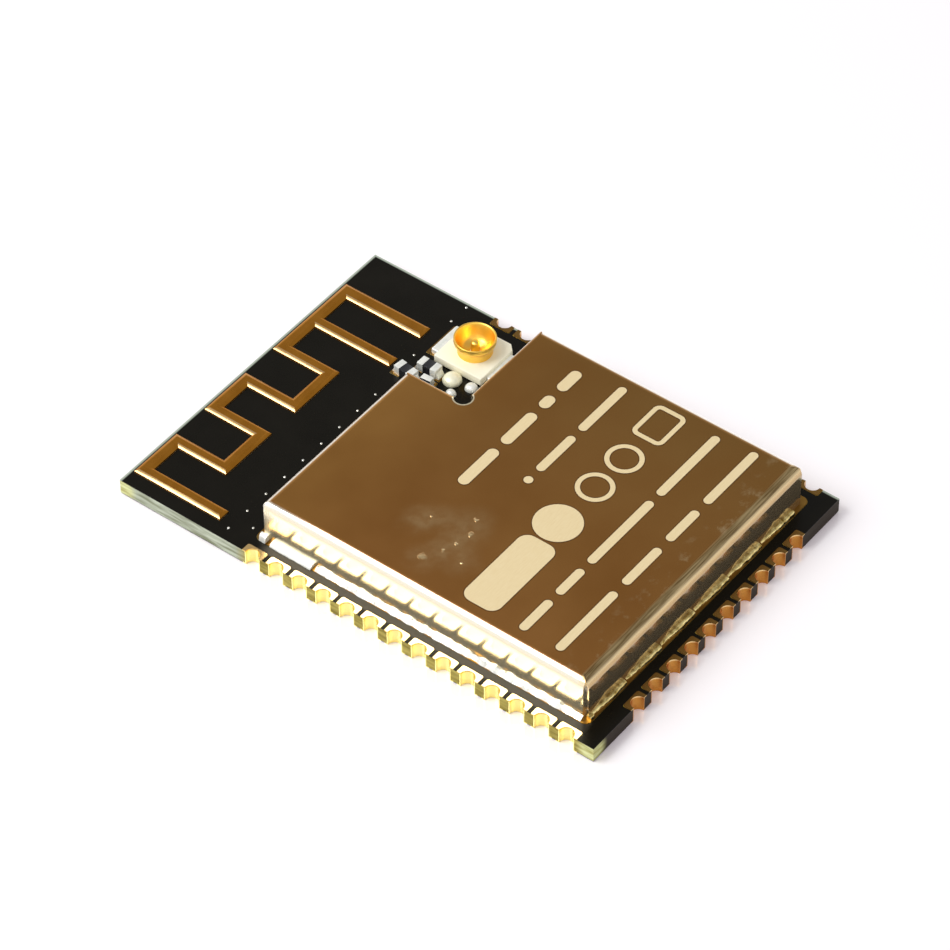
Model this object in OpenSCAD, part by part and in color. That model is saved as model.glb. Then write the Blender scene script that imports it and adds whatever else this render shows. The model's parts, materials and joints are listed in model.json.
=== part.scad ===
// Surface-mount wireless radio module: board with half-hole edge pads, folded shield can with a corner
// cut-out, printed meander antenna and a small coaxial antenna socket.
// Millimetres, +Z up. The underside lands lie on Z = 0, the antenna end points to +Y.

/* [Board] */
// Width across the two long pad rows
board_w = 17.7; // [17.4:0.1:20]
// Length from the pad end to the antenna end
board_l = 25.2; // [25:0.1:28]
// Thickness over the bare copper of both faces
board_t = 0.8; // [0.6:0.1:1.6]
// Thickness of copper with its plating
copper_t = 0.04; // [0.03:0.005:0.06]
// Thickness of the solder mask, less than the copper
mask_t = 0.025; // [0.015:0.005:0.03]
// Gap between the mask and bare copper
mask_gap = 0.02; // [0.01:0.01:0.05]

/* [Edge pads] */
// Centre distance of neighbouring pads
pad_pitch = 1.27; // [1.1:0.01:1.35]
// Land width along the board's edge
pad_w = 1.06; // [0.95:0.01:1.1]
// Land depth on the top face
pad_l = 0.44; // [0.43:0.01:0.6]
// Land depth on the underside
pad_under_l = 0.9; // [0.6:0.05:1.2]
// Radius of the plated half-hole
half_hole_r = 0.36; // [0.2:0.01:0.38]
// Rounding of a land's inner corners
land_round = 0.1; // [0.04:0.01:0.2]
// Pads on each long side
side_pads = 14; // [10:1:14]
// Pads on the end
end_pads = 10; // [6:1:11]
// Board end to the centre of the nearest side pad
side_pad_start = 1.38; // [1.2:0.01:1.8]

/* [Antenna] */
// Width of the meander trace
trace_w = 0.6; // [0.5:0.02:0.7]
// Width of the feed leg
feed_w = 0.74; // [0.5:0.02:0.9]
// Board end to the trace
trace_end = 0.2; // [0.15:0.05:0.3]
// Left board edge to the first leg
trace_side = 0.74; // [0.7:0.02:1]
// Clear width under a top run
top_run_gap = 1.62; // [1.4:0.02:1.7]
// Clear width over a bottom run
bottom_run_gap = 1.9; // [1.6:0.05:2]
// Depth of the meander over its bottom runs
meander_l = 3.26; // [2.6:0.02:3.6]
// Can's antenna side to the feet of the ground legs and the feed leg
leg_gap = 2.04; // [1.9:0.02:2.4]
// Radius of a ground via's barrel
via_r = 0.2; // [0.15:0.01:0.24]
// Radius of a ground via's bore
via_bore_r = 0.12; // [0.06:0.01:0.14]
// Antenna legs to the row of ground vias
via_row_gap = 0.58; // [0.4:0.02:0.64]

/* [Shield can] */
// Board edge to the can's long walls
can_side = 1.08; // [1.04:0.02:1.6]
// Board end to the can's end wall
can_end = 1.18; // [1.1:0.02:1.4]
// Length of the can
can_l = 17.04; // [16.7:0.02:17.14]
// Height of the can over the board
can_h = 2.15; // [2.1:0.05:3]
// Thickness of the folded sheet
sheet_t = 0.2; // [0.12:0.01:0.24]
// Outer radius of the folded edges
bend_r = 0.44; // [0.32:0.02:0.6]
// Open slit at each folded corner, less than the bend radius
corner_slit = 0.25; // [0.15:0.01:0.3]
// Hairline gap at a corner's mitre
mitre_gap = 0.02; // [0.01:0.01:0.05]
// Width of the cut-out at the socket's corner
notch_w = 5.58; // [5.4:0.02:5.8]
// Length of the cut-out at the socket's corner
notch_l = 3.14; // [3:0.02:3.3]
// Radius of the relief hole at the cut-out's inner corner
relief_r = 0.42; // [0.3:0.02:0.5]
// Relief hole's centre past the cut-out's inner corner
relief_out = 0.11; // [0:0.01:0.2]
// Ground ring showing outside the can's walls
ring_out = 0.24; // [0.2:0.01:0.3]
// Ground ring reaching inside the can's walls
ring_in = 0.4; // [0.3:0.05:0.6]

/* [Solder] */
// Radius of a solder run's round back
run_r = 0.42; // [0.36:0.02:0.6]
// Depth of that round back's axis under the ring's face
run_sink = 0.24; // [0.18:0.01:0.3]
// Length of a run's tapered tip
run_tip = 0.7; // [0.3:0.1:1]
// Solder runs along the end wall
end_runs = 6; // [3:1:7]
// Share of the end wall's pitch that a run takes up
run_share = 0.82; // [0.6:0.02:0.9]

/* [Coaxial socket] */
// Right board edge to the socket's axis
socket_side = 2.55; // [2.5:0.05:2.8]
// Cut-out's inner edge to the socket's axis
socket_notch = 2.52; // [2.4:0.02:2.8]
// Width and length of the moulded base
base_w = 2.6; // [2.4:0.05:2.7]
// Height of the moulded base
base_h = 0.42; // [0.36:0.02:0.6]
// Outer radius of the contact ring's lip
lip_r = 0.96; // [0.9:0.02:1.1]
// Radius of the contact ring's foot
foot_r = 0.84; // [0.8:0.02:0.9]
// Radius of the groove under the lip
groove_r = 0.79; // [0.76:0.01:0.82]
// Radius of the ring's cup at its floor
ring_bore_r = 0.65; // [0.6:0.01:0.68]
// Radius of the ring's cup at its mouth
cup_r = 0.86; // [0.8:0.02:0.88]
// Height of the contact ring over the base
contact_h = 0.84; // [0.8:0.02:1.2]
// Height of the ring's lip
lip_h = 0.3; // [0.2:0.02:0.4]
// Radius of the centre contact
pin_r = 0.2; // [0.14:0.02:0.26]
// Width of the two ground tails
tail_w = 1.84; // [1.4:0.02:2.2]
// Thickness of the tails
tail_t = 0.14; // [0.1:0.02:0.2]
// Tails reaching past the base
tail_out = 0.44; // [0.3:0.02:0.5]

/* [Chip parts] */
// Length of a small chip part
chip_l = 1; // [0.9:0.05:1.1]
// Width of a small chip part
chip_w = 0.5; // [0.4:0.02:0.6]
// Height of a small chip part
chip_h = 0.46; // [0.3:0.02:0.6]
// Length of a chip part's metal end
chip_end = 0.24; // [0.18:0.02:0.3]
// Body set back from the metal ends
chip_step = 0.02; // [0.01:0.005:0.04]
// Width and length of the processor package
processor_w = 5; // [4.9:0.1:5.4]
// Height of the processor package
processor_h = 0.85; // [0.7:0.05:1]
// Terminals on each side of the processor
processor_side = 10; // [8:1:10]
// Width and length of the memory body
flash_w = 5.2; // [4.8:0.1:5.4]
// Height of the memory package
flash_h = 1.7; // [1.4:0.05:1.8]
// Width of the crystal package
crystal_w = 2.5; // [2:0.1:2.6]
// Length of the crystal package
crystal_l = 3.2; // [2.5:0.1:3.4]
// Height of the crystal package
crystal_h = 0.75; // [0.6:0.05:0.9]
// Length of an inductor
inductor_l = 1.6; // [1.4:0.1:1.8]
// Width and height of an inductor
inductor_w = 0.8; // [0.6:0.05:1]
// Parts under the can to the inside of its walls
part_gap = 0.5; // [0.4:0.02:0.6]
// Width and length of the pad under the board
ground_pad_w = 4; // [3.6:0.1:4.6]

/* [Hidden] */
$fn = 48;

// Levels of the board's layers
core_z0 = copper_t;
core_z1 = board_t - copper_t;
core_t = core_z1 - core_z0;
drill_r = half_hole_r + copper_t;
slack = 1;

// Plan lines of the can: its outer wall faces and the cut-out's edges
can_x0 = -board_w / 2 + can_side;
can_x1 = board_w / 2 - can_side;
can_y0 = -board_l / 2 + can_end;
can_y1 = can_y0 + can_l;
can_top = board_t + can_h;
notch_x = can_x1 - notch_w;
notch_y = can_y1 - notch_l;

// The can's walls: plan start, heading, length, and whether each end is an outer corner
CAN_WALLS = [
  [[can_x0, can_y1], -90, can_l, true, true],
  [[can_x0, can_y0], 0, can_x1 - can_x0, true, true],
  [[can_x1, can_y0], 90, can_l - notch_l, true, true],
  [[can_x1, notch_y], 180, notch_w, true, false],
  [[notch_x, notch_y], 90, notch_l, false, true],
  [[notch_x, can_y1], 180, notch_x - can_x0, true, true]];

// Antenna levels
trace_y1 = board_l / 2 - trace_end;
legs_y = can_y1 + leg_gap;
feed_x = leg_x(5) + trace_w + top_run_gap;
via_row_y = legs_y - via_row_gap;

// Socket axis and levels
socket_x = board_w / 2 - socket_side;
socket_y = notch_y + socket_notch;
base_top = board_t + base_h;
lead_frame_t = 0.1;

// Plan places of the parts: centre and turn
wall_gap = sheet_t + part_gap;
land_reach = 0.72;
PROCESSOR_AT = [(can_x0 + notch_x) / 2, can_y1 - wall_gap - 2 * land_reach - 0.45 - processor_w / 2];
FLASH_AT = [(can_x0 + can_x1) / 2 + 0.6, can_y0 + wall_gap + 0.2 + flash_w / 2];
CRYSTAL_AT = [can_x1 - wall_gap - crystal_w / 2, notch_y - wall_gap - crystal_l / 2];
MATCHING_AT = [
  [socket_x - base_w / 2 - 0.6, socket_y + 1.06, 90],
  [socket_x - base_w / 2 - 1.42, socket_y + 1.72, 90],
  [socket_x - base_w / 2 - 1.7, socket_y + 0.6, 0]];
CAPACITORS_AT = concat(
  [for (i = [-1.5:1.5]) [PROCESSOR_AT[0] + 1.1 * i, can_y1 - wall_gap - land_reach, 90]],
  [for (i = [0:3]) [FLASH_AT[0] - flash_w / 2 - 2.9, FLASH_AT[1] + 1.9 - 1.1 * i, 0]]);
RESISTORS_AT = [for (i = [0:3]) [can_x1 - wall_gap - land_reach, PROCESSOR_AT[1] - 3.6 - 0.9 * i, 0]];
INDUCTORS_AT = [for (i = [0:1]) [PROCESSOR_AT[0] + processor_w / 2 + 1.6, PROCESSOR_AT[1] + 0.5 - 1.6 * i, 0]];
via_pitch = 1.26;
via_edge = 0.62;
VIAS_AT = concat(
  [for (i = [0:8]) [-board_w / 2 + via_edge + via_pitch * i, via_row_y]],
  [[-board_w / 2 + via_edge + via_pitch / 2, via_row_y - 0.84]],
  [[leg_x(5) + trace_w + 0.65, via_row_y + 0.16]],
  [for (i = [0:1]) [board_w / 2 - 0.27 - 1.09 * i, via_row_y + 0.16]]);
flash_pitch = 1.27;
THERMAL_AT = [for (i = [-1:1], j = [-1:1]) [PROCESSOR_AT[0] + 1 * i, PROCESSOR_AT[1] + 1 * j]];

function side_pad_y(i) = -board_l / 2 + side_pad_start + pad_pitch * i;
function end_pad_x(i) = pad_pitch * (i - (end_pads - 1) / 2);
function leg_x(i) = -board_w / 2 + trace_side + i * trace_w + ceil(i / 2) * top_run_gap
  + floor(i / 2) * bottom_run_gap;

module layer(z, t) {
  translate([0, 0, z]) linear_extrude(t) children();
}

module at(places) {
  for (p = places) translate([p[0], p[1], 0]) rotate(p[2]) children();
}

// Plan rectangle from one corner to the other, grown on every side
module span_2d(a, b, grow = 0) {
  translate([a[0] - grow, a[1] - grow]) square([b[0] - a[0] + 2 * grow, b[1] - a[1] + 2 * grow]);
}

module centred_2d(w, l, grow = 0) {
  span_2d([-w / 2, -l / 2], [w / 2, l / 2], grow);
}

// Edge pads: each is drawn with the board's edge on its Y axis and the board towards +X
module at_left_pads() {
  for (i = [0:side_pads - 1]) translate([-board_w / 2, side_pad_y(i), 0]) children();
}

module at_right_pads() {
  for (i = [0:side_pads - 1]) translate([board_w / 2, side_pad_y(i), 0]) rotate(180) children();
}

module at_end_pads() {
  for (i = [0:end_pads - 1]) translate([end_pad_x(i), -board_l / 2, 0]) rotate(90) children();
}

module at_all_pads() {
  at_left_pads() children();
  at_right_pads() children();
  at_end_pads() children();
}

module land_2d(l, grow = 0) {
  r = land_round;
  w = pad_w / 2 + grow;
  span_2d([0, -w], [l + grow - r, w]);
  span_2d([0, r - w], [l + grow, w - r]);
  for (s = [-1, 1]) translate([l + grow - r, s * (w - r)]) circle(r);
}

module edge_pad() {
  difference() {
    union() {
      layer(0, copper_t) land_2d(pad_under_l);
      layer(core_z1, copper_t) land_2d(pad_l);
      layer(0, board_t) intersection() {
        circle(drill_r);
        span_2d([0, -drill_r], [drill_r, drill_r]);
      }
    }
    translate([0, 0, -slack]) cylinder(h = board_t + 2 * slack, r = half_hole_r);
  }
}

module left_edge_pads() {
  color([0.85, 0.66, 0.3]) at_left_pads() edge_pad();
}

module right_edge_pads() {
  color([0.85, 0.66, 0.3]) at_right_pads() edge_pad();
}

module end_edge_pads() {
  color([0.85, 0.66, 0.3]) at_end_pads() edge_pad();
}

module circuit_board() {
  color([0.55, 0.53, 0.32]) layer(core_z0, core_t) difference() {
    centred_2d(board_w, board_l);
    at_all_pads() circle(drill_r);
    for (p = concat(VIAS_AT, THERMAL_AT)) translate(p) circle(via_r);
  }
}

module ground_vias() {
  color([0.8, 0.6, 0.3]) layer(core_z0, core_t) for (p = concat(VIAS_AT, THERMAL_AT)) translate(p) difference() {
    circle(via_r);
    circle(via_bore_r);
  }
}

module solder_mask_top() {
  color([0.08, 0.07, 0.07]) layer(core_z1, mask_t) difference() {
    centred_2d(board_w, board_l);
    at_all_pads() land_2d(pad_l, mask_gap);
    antenna_2d(mask_gap);
    ring_2d(mask_gap);
    lands_2d(mask_gap);
  }
}

module solder_mask_underside() {
  color([0.08, 0.07, 0.07]) layer(core_z0 - mask_t, mask_t) difference() {
    centred_2d(board_w, board_l);
    at_all_pads() land_2d(pad_under_l, mask_gap);
    translate(PROCESSOR_AT) centred_2d(ground_pad_w, ground_pad_w, mask_gap);
  }
}

module ground_pad() {
  color([0.85, 0.66, 0.3]) layer(0, copper_t) translate(PROCESSOR_AT) centred_2d(ground_pad_w, ground_pad_w);
}

// Meander: legs 0 to 5 in order, then the feed leg; runs join them at the top and the bottom in turn
module antenna_2d(grow = 0) {
  run_y = trace_y1 - meander_l;
  for (i = [0:5]) {
    foot = (i == 0 || i == 5) ? legs_y : run_y;
    span_2d([leg_x(i), foot], [leg_x(i) + trace_w, trace_y1], grow);
  }
  span_2d([feed_x, legs_y], [feed_x + feed_w, trace_y1], grow);
  for (i = [0, 2]) span_2d([leg_x(i), trace_y1 - trace_w], [leg_x(i + 1) + trace_w, trace_y1], grow);
  span_2d([leg_x(4), trace_y1 - trace_w], [feed_x + feed_w, trace_y1], grow);
  for (i = [1, 3]) span_2d([leg_x(i), run_y], [leg_x(i + 1) + trace_w, run_y + trace_w], grow);
}

module antenna_trace() {
  color([0.75, 0.52, 0.2]) layer(core_z1, copper_t) antenna_2d();
}

// Ground ring: a bar with round ends under each wall
module ring_2d(grow = 0) {
  mid = (ring_out - ring_in) / 2;
  half = (ring_out + ring_in) / 2 + grow;
  for (w = CAN_WALLS) translate(w[0]) rotate(w[1]) {
    a = w[3] ? -mid : mid;
    b = w[2] + (w[4] ? mid : -mid);
    span_2d([a, -mid - half], [b, -mid + half]);
    for (s = [a, b]) translate([s, -mid]) circle(half);
  }
}

module shield_ring() {
  color([0.8, 0.58, 0.22]) layer(core_z1, copper_t) ring_2d();
}

// Folded wall, drawn along +X with the outside towards -Y; its top laps onto the flat plate
module fold_2d(inset, foot) {
  w = 2 * bend_r + inset;
  fold_z = can_top - bend_r;
  span_2d([inset, foot], [w, fold_z]);
  span_2d([bend_r, foot], [w, can_top - inset]);
  translate([bend_r, fold_z]) circle(bend_r - inset);
}

module wall_profile_2d() {
  difference() {
    fold_2d(0, board_t);
    fold_2d(sheet_t, board_t - slack);
  }
}

// Plan cut at an outer corner: an open slit, then a mitre through the bend
module corner_cut() {
  g = corner_slit;
  m = mitre_gap;
  translate([0, 0, -slack]) linear_extrude(can_top + 2 * slack)
    polygon([[-slack, -slack], [g, -slack], [g, g - m], [bend_r, bend_r - m], [bend_r, 2 * bend_r], [-slack, 2 * bend_r]]);
}

module folded_wall(len, outer_a, outer_b) {
  difference() {
    rotate([90, 0, 90]) linear_extrude(len) wall_profile_2d();
    if (outer_a) corner_cut();
    if (outer_b) translate([len, 0, 0]) mirror([1, 0, 0]) corner_cut();
  }
}

module shield_can() {
  r = bend_r;
  color([0.6, 0.5, 0.36]) difference() {
    union() {
      layer(can_top - sheet_t, sheet_t) polygon([
        [can_x0 + r, can_y0 + r], [can_x1 - r, can_y0 + r], [can_x1 - r, notch_y - r], [notch_x, notch_y - r],
        [notch_x, notch_y], [notch_x - r, notch_y], [notch_x - r, can_y1 - r], [can_x0 + r, can_y1 - r]]);
      for (w = CAN_WALLS) translate([w[0][0], w[0][1], 0]) rotate(w[1]) folded_wall(w[2], w[3], w[4]);
    }
    translate([notch_x + relief_out, notch_y + relief_out, board_t - slack])
      cylinder(h = can_h + 2 * slack, r = relief_r);
  }
}

// Solder run with tapered tips, along +X against a wall's outside at Y = 0
module solder_run(a, b) {
  tip = min(run_tip, (b - a) / 3);
  intersection() {
    translate([a, 0, board_t - run_sink]) rotate([0, 90, 0]) rotate_extrude() polygon([
      [0, 0], [run_sink, 0], [run_r, tip], [run_r, b - a - tip], [run_sink, b - a], [0, b - a]]);
    translate([a - slack, -ring_out, board_t]) cube([b - a + 2 * slack, ring_out, can_h]);
  }
}

module shield_solder() {
  clear = bend_r + 0.1;
  color([0.8, 0.8, 0.76]) for (k = [0:len(CAN_WALLS) - 1]) {
    w = CAN_WALLS[k];
    n = k == 1 ? end_runs : k == 3 || k == 5 ? 2 : 1;
    from = w[3] ? clear : relief_r + 0.4;
    to = w[2] - (w[4] ? clear : relief_r + 0.4);
    lead = k == 0 ? 2.6 : 0;
    pitch = (to - from - lead) / n;
    translate([w[0][0], w[0][1], 0]) rotate(w[1]) {
      for (i = [0:n - 1]) {
        mid = from + lead + pitch * (i + 0.5);
        half = pitch / 2 * (n == 1 ? 1 : run_share);
        solder_run(mid - half, mid + half);
      }
      if (lead > 0) solder_run(from, from + lead - 0.5);
    }
  }
}

// Lands that the parts stand on
module chip_lands_2d(l, w, e, grow) {
  for (s = [-1, 1]) translate([s * (l / 2 - e / 2 + 0.1), 0]) centred_2d(e + 0.24, w + 0.04, grow);
}

module processor_terminals_2d(l, w, out, grow = 0) {
  p = 0.4;
  for (t = [0:90:270]) rotate(t) for (i = [0:processor_side - 1])
    translate([processor_w / 2 + out - l / 2, p * (i - (processor_side - 1) / 2)]) centred_2d(l, w, grow);
}

module socket_lands_2d(grow) {
  for (s = [-1, 1]) translate([socket_x, socket_y + s * (base_w / 2 + 0.1)])
    centred_2d(tail_w + 0.2, 2 * tail_out + 0.2, grow);
  translate([socket_x - base_w / 2 - 0.1, socket_y]) centred_2d(0.9, 0.5, grow);
}

module lands_2d(grow = 0) {
  at(MATCHING_AT) chip_lands_2d(chip_l, chip_w, chip_end, grow);
  at(CAPACITORS_AT) chip_lands_2d(chip_l, chip_w, chip_end, grow);
  at(RESISTORS_AT) chip_lands_2d(chip_l, chip_w, chip_end, grow);
  at(INDUCTORS_AT) chip_lands_2d(inductor_l, inductor_w, chip_end + 0.1, grow);
  translate(PROCESSOR_AT) {
    processor_terminals_2d(0.7, 0.2, 0.2, grow);
    centred_2d(processor_w - 2.2, processor_w - 2.2, grow);
  }
  translate(FLASH_AT) for (s = [-1, 1], i = [-1.5:1.5])
    translate([s * (flash_w / 2 + 0.95), flash_pitch * i]) centred_2d(1, 0.55, grow);
  translate(CRYSTAL_AT) for (s = [-1, 1], t = [-1, 1])
    translate([s * (crystal_w / 2 - 0.45), t * (crystal_l / 2 - 0.5)]) centred_2d(0.8, 0.9, grow);
  socket_lands_2d(grow);
}

module component_lands() {
  color([0.85, 0.66, 0.3]) layer(core_z1, copper_t) lands_2d();
}

// Coaxial socket: the tails run through channels in the moulded base
module ground_tails() {
  leg_y = (groove_r + ring_bore_r) / 2;
  for (s = [0, 180]) rotate(s) {
    translate([-tail_w / 2, leg_y - tail_t / 2, board_t])
      cube([tail_w, base_w / 2 + tail_out - leg_y + tail_t / 2, tail_t]);
    translate([-tail_t, leg_y - tail_t / 2, board_t]) cube([2 * tail_t, tail_t, base_h]);
  }
}

module signal_tail() {
  translate([-base_w / 2 - tail_out + 0.1, -pin_r, board_t])
    cube([base_w / 2 + tail_out - 0.1, 2 * pin_r, tail_t]);
}

module connector_base() {
  color([0.93, 0.91, 0.84]) translate([socket_x, socket_y, 0]) difference() {
    layer(board_t, base_h) difference() {
      centred_2d(base_w, base_w);
      for (s = [-1, 1]) translate([base_w / 2, s * base_w / 2]) rotate(45) square(0.4, center = true);
    }
    ground_tails();
    signal_tail();
    translate([0, 0, board_t - slack]) cylinder(h = base_h + 2 * slack, r = pin_r);
  }
}

module connector_shell() {
  lip_z = contact_h - lip_h;
  edge = 0.06;
  color([0.88, 0.66, 0.26]) translate([socket_x, socket_y, 0]) {
    translate([0, 0, base_top]) rotate_extrude() polygon([
      [ring_bore_r, 0], [foot_r, 0], [groove_r, lip_z / 2], [lip_r, lip_z], [lip_r, contact_h - edge],
      [lip_r - edge, contact_h], [cup_r, contact_h], [ring_bore_r, lip_z / 2]]);
    ground_tails();
  }
}

module connector_pin() {
  color([0.88, 0.66, 0.26]) translate([socket_x, socket_y, 0]) {
    translate([0, 0, board_t]) rotate_extrude() polygon([
      [0, 0], [pin_r, 0], [pin_r, base_h + contact_h - 0.36], [pin_r - 0.08, base_h + contact_h - 0.26],
      [0, base_h + contact_h - 0.26]]);
    signal_tail();
  }
}

// Solder domes over the socket's three tails
module solder_dome(reach) {
  sink = 0.12;
  intersection() {
    translate([0, 0, board_t - sink]) sphere(reach);
    translate([-reach, -reach, board_t]) cube([2 * reach, reach, reach]);
  }
}

module connector_solder() {
  color([0.8, 0.8, 0.76]) translate([socket_x, socket_y, 0]) {
    for (t = [0, 180]) rotate(t) for (s = [-1, 1])
      translate([s * tail_w / 4, -base_w / 2 - tail_out, 0]) solder_dome(0.3);
    translate([-base_w / 2 - tail_out + 0.1, 0, 0]) rotate(-90) solder_dome(0.34);
  }
}

// Chip parts stand on their metal ends
module chip_body(l, w, h, e) {
  translate([e - l / 2, chip_step - w / 2, board_t + chip_step]) cube([l - 2 * e, w - 2 * chip_step, h - 2 * chip_step]);
}

module chip_ends(l, w, h, e) {
  for (s = [0, 180]) rotate(s) translate([l / 2 - e, -w / 2, board_t]) cube([e, w, h]);
}

module matching_chip_bodies() {
  color([0.2, 0.19, 0.2]) at(MATCHING_AT) chip_body(chip_l, chip_w, chip_h, chip_end);
}

module matching_chip_ends() {
  color([0.8, 0.82, 0.82]) at(MATCHING_AT) chip_ends(chip_l, chip_w, chip_h, chip_end);
}

module capacitor_bodies() {
  color([0.62, 0.5, 0.38]) at(CAPACITORS_AT) chip_body(chip_l, chip_w, chip_h, chip_end);
}

module capacitor_ends() {
  color([0.8, 0.82, 0.82]) at(CAPACITORS_AT) chip_ends(chip_l, chip_w, chip_h, chip_end);
}

module resistor_bodies() {
  color([0.13, 0.13, 0.14]) at(RESISTORS_AT) chip_body(chip_l, chip_w, chip_h * 0.76, chip_end);
}

module resistor_ends() {
  color([0.8, 0.82, 0.82]) at(RESISTORS_AT) chip_ends(chip_l, chip_w, chip_h * 0.76, chip_end);
}

module inductor_bodies() {
  color([0.3, 0.3, 0.32]) at(INDUCTORS_AT) chip_body(inductor_l, inductor_w, inductor_w, chip_end + 0.1);
}

module inductor_ends() {
  color([0.8, 0.82, 0.82]) at(INDUCTORS_AT) chip_ends(inductor_l, inductor_w, inductor_w, chip_end + 0.1);
}

module processor_leads() {
  color([0.78, 0.76, 0.72]) translate(PROCESSOR_AT) layer(board_t, lead_frame_t) {
    processor_terminals_2d(0.4, 0.18, 0);
    centred_2d(processor_w - 2.4, processor_w - 2.4);
  }
}

module processor_body() {
  color([0.12, 0.12, 0.13]) translate(PROCESSOR_AT)
    layer(board_t + lead_frame_t, processor_h - lead_frame_t) centred_2d(processor_w, processor_w);
}

module flash_body() {
  color([0.12, 0.12, 0.13]) translate(FLASH_AT)
    layer(board_t + lead_frame_t, flash_h - lead_frame_t) centred_2d(flash_w, flash_w);
}

// Bent leads from the memory body's sides down to their lands
module flash_leads() {
  t = 0.15;
  m = flash_h / 2;
  color([0.78, 0.78, 0.76]) translate(FLASH_AT) for (s = [0, 180], i = [-1.5:1.5]) rotate(s)
    translate([flash_w / 2, flash_pitch * i + 0.2, board_t]) rotate([90, 0, 0]) linear_extrude(0.4) polygon([
      [0, m - t / 2], [0.35, m - t / 2], [0.5, 0], [1.3, 0], [1.3, t], [0.64, t], [0.5, m + t / 2], [0, m + t / 2]]);
}

module crystal_base() {
  color([0.45, 0.43, 0.4]) translate(CRYSTAL_AT) layer(board_t, crystal_h * 0.6) centred_2d(crystal_w, crystal_l);
}

module crystal_lid() {
  color([0.75, 0.73, 0.68]) translate(CRYSTAL_AT)
    layer(board_t + crystal_h * 0.6, crystal_h * 0.4) centred_2d(crystal_w - 0.4, crystal_l - 0.4);
}

circuit_board();
solder_mask_top();
solder_mask_underside();
left_edge_pads();
right_edge_pads();
end_edge_pads();
ground_pad();
ground_vias();
antenna_trace();
shield_ring();
shield_solder();
shield_can();
component_lands();
connector_base();
connector_shell();
connector_pin();
connector_solder();
matching_chip_bodies();
matching_chip_ends();
processor_body();
processor_leads();
flash_body();
flash_leads();
crystal_base();
crystal_lid();
capacitor_bodies();
capacitor_ends();
resistor_bodies();
resistor_ends();
inductor_bodies();
inductor_ends();
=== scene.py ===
import json
import math

import bmesh
import bpy
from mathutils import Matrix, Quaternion, Vector


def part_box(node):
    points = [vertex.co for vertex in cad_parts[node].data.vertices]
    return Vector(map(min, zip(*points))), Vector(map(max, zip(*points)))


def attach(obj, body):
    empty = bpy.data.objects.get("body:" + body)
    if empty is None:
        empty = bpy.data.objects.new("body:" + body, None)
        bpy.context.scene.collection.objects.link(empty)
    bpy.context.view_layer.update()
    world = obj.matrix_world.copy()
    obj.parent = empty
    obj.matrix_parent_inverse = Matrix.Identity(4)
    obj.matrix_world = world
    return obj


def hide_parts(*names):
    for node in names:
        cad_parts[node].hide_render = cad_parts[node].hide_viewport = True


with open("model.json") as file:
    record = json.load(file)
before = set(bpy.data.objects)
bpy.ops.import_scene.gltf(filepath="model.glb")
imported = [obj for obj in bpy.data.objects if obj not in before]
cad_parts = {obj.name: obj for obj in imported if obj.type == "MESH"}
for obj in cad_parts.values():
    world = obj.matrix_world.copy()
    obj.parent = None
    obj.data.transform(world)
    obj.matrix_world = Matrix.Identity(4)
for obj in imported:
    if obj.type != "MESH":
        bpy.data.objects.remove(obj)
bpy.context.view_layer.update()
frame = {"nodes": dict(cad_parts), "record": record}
nodes = frame["nodes"]
scene = bpy.context.scene
mm = 0.001
same = 1e-4  # places nearer than this, in millimetres, count as one


def boxMm(node):  # a CAD node's corners in millimetres
    lo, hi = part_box(node)
    return lo / mm, hi / mm


def linear(hexColour):  # sRGB hex to linear colour
    channels = [int(hexColour[i:i + 2], 16) / 255 for i in (1, 3, 5)]
    return [c / 12.92 if c <= 0.04045 else ((c + 0.055) / 1.055) ** 2.4 for c in channels] + [1.0]


def addNode(tree, kind, inputs={}, **settings):  # a node with its settings, each input linked or filled in
    node = tree.nodes.new("ShaderNode" + kind)
    for name, value in settings.items():
        setattr(node, name, value)
    for socket, value in inputs.items():
        if isinstance(value, bpy.types.NodeSocket):
            tree.links.new(value, node.inputs[socket])
        else:
            node.inputs[socket].default_value = value
    return node


def newMaterial(name, **shaderInputs):  # a clean material with its Object coordinates
    material = bpy.data.materials.new(name)
    material.use_nodes = True
    tree = material.node_tree
    tree.nodes.clear()
    settings = {key.replace("_", " "): value for key, value in shaderInputs.items()}
    shader = addNode(tree, "BsdfPrincipled", settings)
    addNode(tree, "OutputMaterial", {"Surface": shader.outputs[0]})
    place = addNode(tree, "TexCoord").outputs["Object"]
    return material, tree, shader, place


def feed(tree, shader, **sources):  # link finished patterns into the shader
    for name, source in sources.items():
        tree.links.new(source, shader.inputs[name.replace("_", " ")])


def perMm(size):  # texture scale for a pattern that repeats about every so many millimetres
    return 1 / (size * mm)


def between(stretch, base=0):  # where a tone starts and is full, in millimetres from a base
    return {"From Min": (base + stretch[0]) * mm, "From Max": (base + stretch[1]) * mm}


boardLo, boardHi = boxMm("circuit_board")
canLo, canHi = boxMm("shield_can")
padTop = boxMm("end_edge_pads")[1].z

# camera fitted to the pad rows and the board's corners
view = {"azimuth": -52.4663, "elevation": 45.8191, "roll": -0.2606, "distance": 201.3477,
        "target": (0.5653, 0.6368, 0.8), "lens": 177.952, "sensor": 36, "nearest": 10}
azimuth, elevation, roll = (math.radians(view[k]) for k in ("azimuth", "elevation", "roll"))
back = Vector((math.sin(azimuth) * math.cos(elevation), -math.cos(azimuth) * math.cos(elevation),
               math.sin(elevation)))
bpy.ops.object.select_all(action="DESELECT")
bpy.ops.object.camera_add(location=(Vector(view["target"]) + back * view["distance"]) * mm)
camera = bpy.context.object
camera.rotation_mode = "QUATERNION"
camera.rotation_quaternion = Quaternion(back, roll) @ back.to_track_quat("Z", "Y")
camera.data.lens = view["lens"]
camera.data.sensor_width = view["sensor"]
camera.data.clip_start = view["nearest"] * mm
scene.camera = camera
scene.view_settings.view_transform = "Standard"
print("camera set")

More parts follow.
